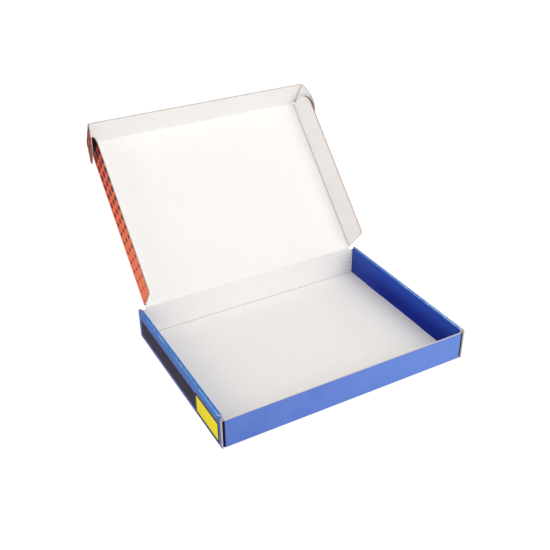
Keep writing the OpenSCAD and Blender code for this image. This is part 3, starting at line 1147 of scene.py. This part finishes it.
make_tray()
make_lid()
make_front_flap()
make_side_flap("right_side_flap", RIGHT_FLAP, 1)
make_side_flap("left_side_flap", LEFT_FLAP, -1)
make_ear("right_ear", RIGHT_EAR, 1)
make_ear("left_ear", LEFT_EAR, -1)
make_skins()


# Stage, light and camera

def make_floor():
    """White floor, just below the box. To the camera it glows, so that it reads as plain white."""
    size = 6.0
    mesh = bpy.data.meshes.new("floor")
    corners = [(-size, -size), (size, -size), (size, size), (-size, size)]
    mesh.from_pydata([(x, y, -0.0002) for x, y in corners], [], [(0, 1, 2, 3)])
    floor = bpy.data.objects.new("floor", mesh)
    bpy.context.scene.collection.objects.link(floor)
    g = Graph("floor_white")
    seen = g.node("ShaderNodeLightPath").outputs
    direct = g.math("MAXIMUM", seen["Is Camera Ray"], seen["Is Glossy Ray"])
    direct = g.math("MAXIMUM", direct, seen["Is Transmission Ray"])
    matte = g.node("ShaderNodeBsdfDiffuse", Color=(0.86, 0.86, 0.86, 1))
    glow = g.node("ShaderNodeEmission", Color=(1, 1, 1, 1), Strength=1.16)
    mixed = g.node("ShaderNodeMixShader")
    g.put(mixed.inputs[0], g.math("MULTIPLY", direct, 0.8))
    g.put(mixed.inputs[1], matte.outputs[0])
    g.put(mixed.inputs[2], glow.outputs[0])
    g.put(g.output.inputs[0], mixed.outputs[0])
    mesh.materials.append(g.material)


def make_world():
    """Soft light from all round, behind a background that the camera sees as white."""
    world = bpy.data.worlds.new("studio")
    world.use_nodes = True
    tree = world.node_tree
    tree.nodes.clear()
    output = tree.nodes.new("ShaderNodeOutputWorld")
    path = tree.nodes.new("ShaderNodeLightPath")
    mixed = tree.nodes.new("ShaderNodeMixShader")
    soft = tree.nodes.new("ShaderNodeBackground")
    soft.inputs[0].default_value = (1.0, 0.985, 0.98, 1)
    soft.inputs[1].default_value = 0.62
    white = tree.nodes.new("ShaderNodeBackground")
    white.inputs[0].default_value = (1, 1, 1, 1)
    white.inputs[1].default_value = 1.0
    tree.links.new(path.outputs["Is Camera Ray"], mixed.inputs[0])
    tree.links.new(soft.outputs[0], mixed.inputs[1])
    tree.links.new(white.outputs[0], mixed.inputs[2])
    tree.links.new(mixed.outputs[0], output.inputs[0])
    bpy.context.scene.world = world


def make_lamp(name, place, target, size, power):
    data = bpy.data.lights.new(name, "AREA")
    data.shape = "SQUARE"
    data.size = size
    data.energy = power
    lamp = bpy.data.objects.new(name, data)
    lamp.location = place
    aim = Vector(target) - Vector(place)
    lamp.rotation_euler = aim.to_track_quat("-Z", "Y").to_euler()
    bpy.context.scene.collection.objects.link(lamp)


def make_camera():
    """Camera fitted to the box's straight edges in the photo."""
    azimuth, elevation, roll = (math.radians(a) for a in (-28.86, 31.39, -0.47))
    aim = Vector((0.05667, 0.15814, 0.0))
    distance = 1.1088
    back = Vector((
        math.sin(azimuth) * math.cos(elevation),
        -math.cos(azimuth) * math.cos(elevation),
        math.sin(elevation),
    ))
    right = Vector((math.cos(azimuth), math.sin(azimuth), 0))
    up = back.cross(right)
    turned_right = math.cos(roll) * right + math.sin(roll) * up
    turned_up = -math.sin(roll) * right + math.cos(roll) * up
    data = bpy.data.cameras.new("camera")
    data.sensor_width = 36
    data.lens = 52.70
    data.clip_start = 0.01
    data.clip_end = 50
    camera = bpy.data.objects.new("camera", data)
    turned = Matrix((turned_right, turned_up, back)).transposed().to_4x4()
    camera.matrix_world = Matrix.Translation(aim + back * distance) @ turned
    bpy.context.scene.collection.objects.link(camera)
    bpy.context.scene.camera = camera


make_floor()
make_world()
make_lamp("key", (0.6, -1.3, 1.4), target=(0, 0.1, 0.05), size=1.4, power=14)
make_lamp("fill", (-1.4, -0.5, 0.7), target=(0, 0.1, 0.05), size=1.0, power=4.2)
make_lamp("front", (0.9, -1.6, 0.4), target=(0, 0.2, 0.15), size=1.2, power=4.5)
make_camera()
bpy.context.scene.view_settings.view_transform = "Standard"
